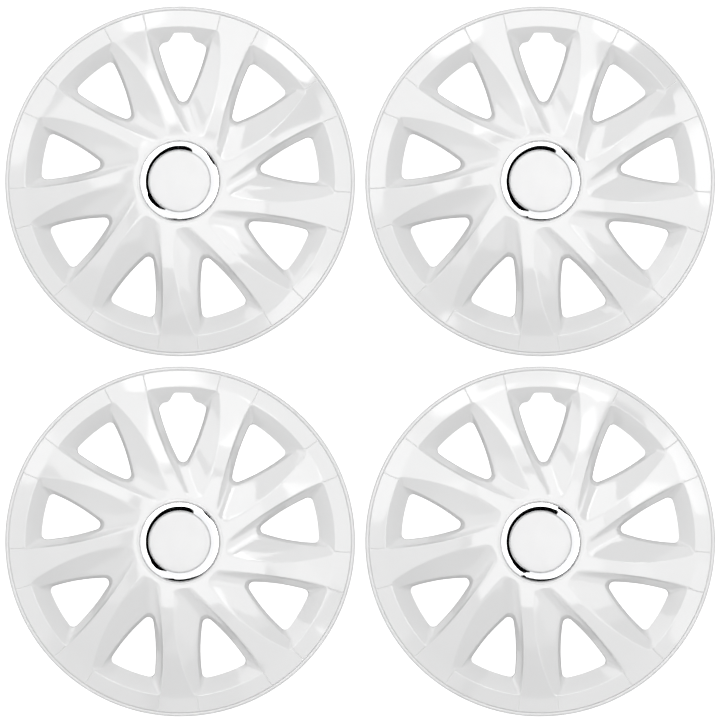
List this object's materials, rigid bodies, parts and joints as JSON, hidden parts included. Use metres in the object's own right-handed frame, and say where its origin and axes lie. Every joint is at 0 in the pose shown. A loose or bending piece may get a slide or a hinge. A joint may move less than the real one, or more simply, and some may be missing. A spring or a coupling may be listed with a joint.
{
  "type": "wheel cover set",
  "caption": "Full wheel covers laid out in a square: white turbine-spoke discs with through windows, a valve notch, chrome hub ring and plain centre cap.",
  "frame": {"origin": "middle of the set on the floor it lies on, at the clip tips", "axes": "+Z up, the way the visible faces look; +Y towards the valve windows; +X to the right seen from above with +Y up; the covers lie in two rows of two"},
  "size_m": [0.832, 0.832, 0.0495],
  "materials": {
    "white_abs": "gloss moulded",
    "chrome_plate": "bright plated",
    "cap_satin": "satin painted",
    "spring_steel": "zinc passivated",
    "clip_nylon": "natural moulded"
  },
  "bodies": {
    "cover_1": {"cover_1_shell": "white_abs", "cover_1_trim_ring": "chrome_plate"},
    "centre_cap_1": {"cover_1_centre_cap": "cap_satin"},
    "retaining_wire_1": {"cover_1_retaining_wire": "spring_steel"},
    "clip_1_1": {"cover_1_clip_1": "clip_nylon"},
    "clip_1_2": {"cover_1_clip_2": "clip_nylon"},
    "clip_1_3": {"cover_1_clip_3": "clip_nylon"},
    "clip_1_4": {"cover_1_clip_4": "clip_nylon"},
    "clip_1_5": {"cover_1_clip_5": "clip_nylon"},
    "clip_1_6": {"cover_1_clip_6": "clip_nylon"},
    "clip_1_7": {"cover_1_clip_7": "clip_nylon"},
    "clip_1_8": {"cover_1_clip_8": "clip_nylon"},
    "clip_1_9": {"cover_1_clip_9": "clip_nylon"},
    "cover_2": {"cover_2_shell": "white_abs", "cover_2_trim_ring": "chrome_plate"},
    "centre_cap_2": {"cover_2_centre_cap": "cap_satin"},
    "retaining_wire_2": {"cover_2_retaining_wire": "spring_steel"},
    "clip_2_1": {"cover_2_clip_1": "clip_nylon"},
    "clip_2_2": {"cover_2_clip_2": "clip_nylon"},
    "clip_2_3": {"cover_2_clip_3": "clip_nylon"},
    "clip_2_4": {"cover_2_clip_4": "clip_nylon"},
    "clip_2_5": {"cover_2_clip_5": "clip_nylon"},
    "clip_2_6": {"cover_2_clip_6": "clip_nylon"},
    "clip_2_7": {"cover_2_clip_7": "clip_nylon"},
    "clip_2_8": {"cover_2_clip_8": "clip_nylon"},
    "clip_2_9": {"cover_2_clip_9": "clip_nylon"},
    "cover_3": {"cover_3_shell": "white_abs", "cover_3_trim_ring": "chrome_plate"},
    "centre_cap_3": {"cover_3_centre_cap": "cap_satin"},
    "retaining_wire_3": {"cover_3_retaining_wire": "spring_steel"},
    "clip_3_1": {"cover_3_clip_1": "clip_nylon"},
    "clip_3_2": {"cover_3_clip_2": "clip_nylon"},
    "clip_3_3": {"cover_3_clip_3": "clip_nylon"},
    "clip_3_4": {"cover_3_clip_4": "clip_nylon"},
    "clip_3_5": {"cover_3_clip_5": "clip_nylon"},
    "clip_3_6": {"cover_3_clip_6": "clip_nylon"},
    "clip_3_7": {"cover_3_clip_7": "clip_nylon"},
    "clip_3_8": {"cover_3_clip_8": "clip_nylon"},
    "clip_3_9": {"cover_3_clip_9": "clip_nylon"},
    "cover_4": {"cover_4_shell": "white_abs", "cover_4_trim_ring": "chrome_plate"},
    "centre_cap_4": {"cover_4_centre_cap": "cap_satin"},
    "retaining_wire_4": {"cover_4_retaining_wire": "spring_steel"},
    "clip_4_1": {"cover_4_clip_1": "clip_nylon"},
    "clip_4_2": {"cover_4_clip_2": "clip_nylon"},
    "clip_4_3": {"cover_4_clip_3": "clip_nylon"},
    "clip_4_4": {"cover_4_clip_4": "clip_nylon"},
    "clip_4_5": {"cover_4_clip_5": "clip_nylon"},
    "clip_4_6": {"cover_4_clip_6": "clip_nylon"},
    "clip_4_7": {"cover_4_clip_7": "clip_nylon"},
    "clip_4_8": {"cover_4_clip_8": "clip_nylon"},
    "clip_4_9": {"cover_4_clip_9": "clip_nylon"}
  },
  "joints": [
    {"name": "centre_cap_1_pull", "type": "slide", "parent": "cover_1", "child": "centre_cap_1", "axis": [0, 0, 1], "range_m": [0, 0.03]},
    {"name": "retaining_wire_1_turn", "type": "hinge", "parent": "cover_1", "child": "retaining_wire_1", "pos_m": [-0.211, 0.211, 0.0085], "axis": [0, 0, 1], "range_deg": [-3, 3]},
    {"name": "clip_1_1_flex", "type": "hinge", "parent": "cover_1", "child": "clip_1_1", "pos_m": [-0.2709, 0.38498, 0.0224], "axis": [-0.9455, -0.3256, 0], "range_deg": [0, 4], "stiffness_Nm_per_rad": 6},
    {"name": "clip_1_2_flex", "type": "hinge", "parent": "cover_1", "child": "clip_1_2", "pos_m": [-0.36872, 0.30577, 0.0224], "axis": [-0.515, -0.8572, 0], "range_deg": [0, 4], "stiffness_Nm_per_rad": 6},
    {"name": "clip_1_3_flex", "type": "hinge", "parent": "cover_1", "child": "clip_1_3", "pos_m": [-0.39273, 0.18222, 0.0224], "axis": [0.1564, -0.9877, 0], "range_deg": [0, 4], "stiffness_Nm_per_rad": 6},
    {"name": "clip_1_4_flex", "type": "hinge", "parent": "cover_1", "child": "clip_1_4", "pos_m": [-0.33171, 0.07213, 0.0224], "axis": [0.7547, -0.6561, 0], "range_deg": [0, 4], "stiffness_Nm_per_rad": 6},
    {"name": "clip_1_5_flex", "type": "hinge", "parent": "cover_1", "child": "clip_1_5", "pos_m": [-0.21421, 0.02703, 0.0224], "axis": [0.9998, -0.0175, 0], "range_deg": [0, 4], "stiffness_Nm_per_rad": 6},
    {"name": "clip_1_6_flex", "type": "hinge", "parent": "cover_1", "child": "clip_1_6", "pos_m": [-0.0952, 0.06801, 0.0224], "axis": [0.7771, 0.6293, 0], "range_deg": [0, 4], "stiffness_Nm_per_rad": 6},
    {"name": "clip_1_7_flex", "type": "hinge", "parent": "cover_1", "child": "clip_1_7", "pos_m": [-0.03038, 0.17589, 0.0224], "axis": [0.1908, 0.9816, 0], "range_deg": [0, 4], "stiffness_Nm_per_rad": 6},
    {"name": "clip_1_8_flex", "type": "hinge", "parent": "cover_1", "child": "clip_1_8", "pos_m": [-0.05007, 0.3002, 0.0224], "axis": [-0.4848, 0.8746, 0], "range_deg": [0, 4], "stiffness_Nm_per_rad": 6},
    {"name": "clip_1_9_flex", "type": "hinge", "parent": "cover_1", "child": "clip_1_9", "pos_m": [-0.14506, 0.38278, 0.0224], "axis": [-0.9336, 0.3584, 0], "range_deg": [0, 4], "stiffness_Nm_per_rad": 6},
    {"name": "cover_2_lift", "type": "slide", "parent": "cover_1", "child": "cover_2", "axis": [0, 0, 1], "range_m": [0, 0.25]},
    {"name": "centre_cap_2_pull", "type": "slide", "parent": "cover_2", "child": "centre_cap_2", "axis": [0, 0, 1], "range_m": [0, 0.03]},
    {"name": "retaining_wire_2_turn", "type": "hinge", "parent": "cover_2", "child": "retaining_wire_2", "pos_m": [0.211, 0.211, 0.0085], "axis": [0, 0, 1], "range_deg": [-3, 3]},
    {"name": "clip_2_1_flex", "type": "hinge", "parent": "cover_2", "child": "clip_2_1", "pos_m": [0.1511, 0.38498, 0.0224], "axis": [-0.9455, -0.3256, 0], "range_deg": [0, 4], "stiffness_Nm_per_rad": 6},
    {"name": "clip_2_2_flex", "type": "hinge", "parent": "cover_2", "child": "clip_2_2", "pos_m": [0.05328, 0.30577, 0.0224], "axis": [-0.515, -0.8572, 0], "range_deg": [0, 4], "stiffness_Nm_per_rad": 6},
    {"name": "clip_2_3_flex", "type": "hinge", "parent": "cover_2", "child": "clip_2_3", "pos_m": [0.02927, 0.18222, 0.0224], "axis": [0.1564, -0.9877, 0], "range_deg": [0, 4], "stiffness_Nm_per_rad": 6},
    {"name": "clip_2_4_flex", "type": "hinge", "parent": "cover_2", "child": "clip_2_4", "pos_m": [0.09029, 0.07213, 0.0224], "axis": [0.7547, -0.6561, 0], "range_deg": [0, 4], "stiffness_Nm_per_rad": 6},
    {"name": "clip_2_5_flex", "type": "hinge", "parent": "cover_2", "child": "clip_2_5", "pos_m": [0.20779, 0.02703, 0.0224], "axis": [0.9998, -0.0175, 0], "range_deg": [0, 4], "stiffness_Nm_per_rad": 6},
    {"name": "clip_2_6_flex", "type": "hinge", "parent": "cover_2", "child": "clip_2_6", "pos_m": [0.3268, 0.06801, 0.0224], "axis": [0.7771, 0.6293, 0], "range_deg": [0, 4], "stiffness_Nm_per_rad": 6},
    {"name": "clip_2_7_flex", "type": "hinge", "parent": "cover_2", "child": "clip_2_7", "pos_m": [0.39162, 0.17589, 0.0224], "axis": [0.1908, 0.9816, 0], "range_deg": [0, 4], "stiffness_Nm_per_rad": 6},
    {"name": "clip_2_8_flex", "type": "hinge", "parent": "cover_2", "child": "clip_2_8", "pos_m": [0.37193, 0.3002, 0.0224], "axis": [-0.4848, 0.8746, 0], "range_deg": [0, 4], "stiffness_Nm_per_rad": 6},
    {"name": "clip_2_9_flex", "type": "hinge", "parent": "cover_2", "child": "clip_2_9", "pos_m": [0.27694, 0.38278, 0.0224], "axis": [-0.9336, 0.3584, 0], "range_deg": [0, 4], "stiffness_Nm_per_rad": 6},
    {"name": "cover_3_lift", "type": "slide", "parent": "cover_1", "child": "cover_3", "axis": [0, 0, 1], "range_m": [0, 0.25]},
    {"name": "centre_cap_3_pull", "type": "slide", "parent": "cover_3", "child": "centre_cap_3", "axis": [0, 0, 1], "range_m": [0, 0.03]},
    {"name": "retaining_wire_3_turn", "type": "hinge", "parent": "cover_3", "child": "retaining_wire_3", "pos_m": [-0.211, -0.211, 0.0085], "axis": [0, 0, 1], "range_deg": [-3, 3]},
    {"name": "clip_3_1_flex", "type": "hinge", "parent": "cover_3", "child": "clip_3_1", "pos_m": [-0.2709, -0.03702, 0.0224], "axis": [-0.9455, -0.3256, 0], "range_deg": [0, 4], "stiffness_Nm_per_rad": 6},
    {"name": "clip_3_2_flex", "type": "hinge", "parent": "cover_3", "child": "clip_3_2", "pos_m": [-0.36872, -0.11623, 0.0224], "axis": [-0.515, -0.8572, 0], "range_deg": [0, 4], "stiffness_Nm_per_rad": 6},
    {"name": "clip_3_3_flex", "type": "hinge", "parent": "cover_3", "child": "clip_3_3", "pos_m": [-0.39273, -0.23978, 0.0224], "axis": [0.1564, -0.9877, 0], "range_deg": [0, 4], "stiffness_Nm_per_rad": 6},
    {"name": "clip_3_4_flex", "type": "hinge", "parent": "cover_3", "child": "clip_3_4", "pos_m": [-0.33171, -0.34987, 0.0224], "axis": [0.7547, -0.6561, 0], "range_deg": [0, 4], "stiffness_Nm_per_rad": 6},
    {"name": "clip_3_5_flex", "type": "hinge", "parent": "cover_3", "child": "clip_3_5", "pos_m": [-0.21421, -0.39497, 0.0224], "axis": [0.9998, -0.0175, 0], "range_deg": [0, 4], "stiffness_Nm_per_rad": 6},
    {"name": "clip_3_6_flex", "type": "hinge", "parent": "cover_3", "child": "clip_3_6", "pos_m": [-0.0952, -0.35399, 0.0224], "axis": [0.7771, 0.6293, 0], "range_deg": [0, 4], "stiffness_Nm_per_rad": 6},
    {"name": "clip_3_7_flex", "type": "hinge", "parent": "cover_3", "child": "clip_3_7", "pos_m": [-0.03038, -0.24611, 0.0224], "axis": [0.1908, 0.9816, 0], "range_deg": [0, 4], "stiffness_Nm_per_rad": 6},
    {"name": "clip_3_8_flex", "type": "hinge", "parent": "cover_3", "child": "clip_3_8", "pos_m": [-0.05007, -0.1218, 0.0224], "axis": [-0.4848, 0.8746, 0], "range_deg": [0, 4], "stiffness_Nm_per_rad": 6},
    {"name": "clip_3_9_flex", "type": "hinge", "parent": "cover_3", "child": "clip_3_9", "pos_m": [-0.14506, -0.03922, 0.0224], "axis": [-0.9336, 0.3584, 0], "range_deg": [0, 4], "stiffness_Nm_per_rad": 6},
    {"name": "cover_4_lift", "type": "slide", "parent": "cover_1", "child": "cover_4", "axis": [0, 0, 1], "range_m": [0, 0.25]},
    {"name": "centre_cap_4_pull", "type": "slide", "parent": "cover_4", "child": "centre_cap_4", "axis": [0, 0, 1], "range_m": [0, 0.03]},
    {"name": "retaining_wire_4_turn", "type": "hinge", "parent": "cover_4", "child": "retaining_wire_4", "pos_m": [0.211, -0.211, 0.0085], "axis": [0, 0, 1], "range_deg": [-3, 3]},
    {"name": "clip_4_1_flex", "type": "hinge", "parent": "cover_4", "child": "clip_4_1", "pos_m": [0.1511, -0.03702, 0.0224], "axis": [-0.9455, -0.3256, 0], "range_deg": [0, 4], "stiffness_Nm_per_rad": 6},
    {"name": "clip_4_2_flex", "type": "hinge", "parent": "cover_4", "child": "clip_4_2", "pos_m": [0.05328, -0.11623, 0.0224], "axis": [-0.515, -0.8572, 0], "range_deg": [0, 4], "stiffness_Nm_per_rad": 6},
    {"name": "clip_4_3_flex", "type": "hinge", "parent": "cover_4", "child": "clip_4_3", "pos_m": [0.02927, -0.23978, 0.0224], "axis": [0.1564, -0.9877, 0], "range_deg": [0, 4], "stiffness_Nm_per_rad": 6},
    {"name": "clip_4_4_flex", "type": "hinge", "parent": "cover_4", "child": "clip_4_4", "pos_m": [0.09029, -0.34987, 0.0224], "axis": [0.7547, -0.6561, 0], "range_deg": [0, 4], "stiffness_Nm_per_rad": 6},
    {"name": "clip_4_5_flex", "type": "hinge", "parent": "cover_4", "child": "clip_4_5", "pos_m": [0.20779, -0.39497, 0.0224], "axis": [0.9998, -0.0175, 0], "range_deg": [0, 4], "stiffness_Nm_per_rad": 6},
    {"name": "clip_4_6_flex", "type": "hinge", "parent": "cover_4", "child": "clip_4_6", "pos_m": [0.3268, -0.35399, 0.0224], "axis": [0.7771, 0.6293, 0], "range_deg": [0, 4], "stiffness_Nm_per_rad": 6},
    {"name": "clip_4_7_flex", "type": "hinge", "parent": "cover_4", "child": "clip_4_7", "pos_m": [0.39162, -0.24611, 0.0224], "axis": [0.1908, 0.9816, 0], "range_deg": [0, 4], "stiffness_Nm_per_rad": 6},
    {"name": "clip_4_8_flex", "type": "hinge", "parent": "cover_4", "child": "clip_4_8", "pos_m": [0.37193, -0.1218, 0.0224], "axis": [-0.4848, 0.8746, 0], "range_deg": [0, 4], "stiffness_Nm_per_rad": 6},
    {"name": "clip_4_9_flex", "type": "hinge", "parent": "cover_4", "child": "clip_4_9", "pos_m": [0.27694, -0.03922, 0.0224], "axis": [-0.9336, 0.3584, 0], "range_deg": [0, 4], "stiffness_Nm_per_rad": 6}
  ],
  "couplings": [
    {"joint": "clip_1_2_flex", "follows": "clip_1_1_flex", "ratio": 1},
    {"joint": "clip_1_3_flex", "follows": "clip_1_1_flex", "ratio": 1},
    {"joint": "clip_1_4_flex", "follows": "clip_1_1_flex", "ratio": 1},
    {"joint": "clip_1_5_flex", "follows": "clip_1_1_flex", "ratio": 1},
    {"joint": "clip_1_6_flex", "follows": "clip_1_1_flex", "ratio": 1},
    {"joint": "clip_1_7_flex", "follows": "clip_1_1_flex", "ratio": 1},
    {"joint": "clip_1_8_flex", "follows": "clip_1_1_flex", "ratio": 1},
    {"joint": "clip_1_9_flex", "follows": "clip_1_1_flex", "ratio": 1},
    {"joint": "clip_2_2_flex", "follows": "clip_2_1_flex", "ratio": 1},
    {"joint": "clip_2_3_flex", "follows": "clip_2_1_flex", "ratio": 1},
    {"joint": "clip_2_4_flex", "follows": "clip_2_1_flex", "ratio": 1},
    {"joint": "clip_2_5_flex", "follows": "clip_2_1_flex", "ratio": 1},
    {"joint": "clip_2_6_flex", "follows": "clip_2_1_flex", "ratio": 1},
    {"joint": "clip_2_7_flex", "follows": "clip_2_1_flex", "ratio": 1},
    {"joint": "clip_2_8_flex", "follows": "clip_2_1_flex", "ratio": 1},
    {"joint": "clip_2_9_flex", "follows": "clip_2_1_flex", "ratio": 1},
    {"joint": "clip_3_2_flex", "follows": "clip_3_1_flex", "ratio": 1},
    {"joint": "clip_3_3_flex", "follows": "clip_3_1_flex", "ratio": 1},
    {"joint": "clip_3_4_flex", "follows": "clip_3_1_flex", "ratio": 1},
    {"joint": "clip_3_5_flex", "follows": "clip_3_1_flex", "ratio": 1},
    {"joint": "clip_3_6_flex", "follows": "clip_3_1_flex", "ratio": 1},
    {"joint": "clip_3_7_flex", "follows": "clip_3_1_flex", "ratio": 1},
    {"joint": "clip_3_8_flex", "follows": "clip_3_1_flex", "ratio": 1},
    {"joint": "clip_3_9_flex", "follows": "clip_3_1_flex", "ratio": 1},
    {"joint": "clip_4_2_flex", "follows": "clip_4_1_flex", "ratio": 1},
    {"joint": "clip_4_3_flex", "follows": "clip_4_1_flex", "ratio": 1},
    {"joint": "clip_4_4_flex", "follows": "clip_4_1_flex", "ratio": 1},
    {"joint": "clip_4_5_flex", "follows": "clip_4_1_flex", "ratio": 1},
    {"joint": "clip_4_6_flex", "follows": "clip_4_1_flex", "ratio": 1},
    {"joint": "clip_4_7_flex", "follows": "clip_4_1_flex", "ratio": 1},
    {"joint": "clip_4_8_flex", "follows": "clip_4_1_flex", "ratio": 1},
    {"joint": "clip_4_9_flex", "follows": "clip_4_1_flex", "ratio": 1}
  ]
}
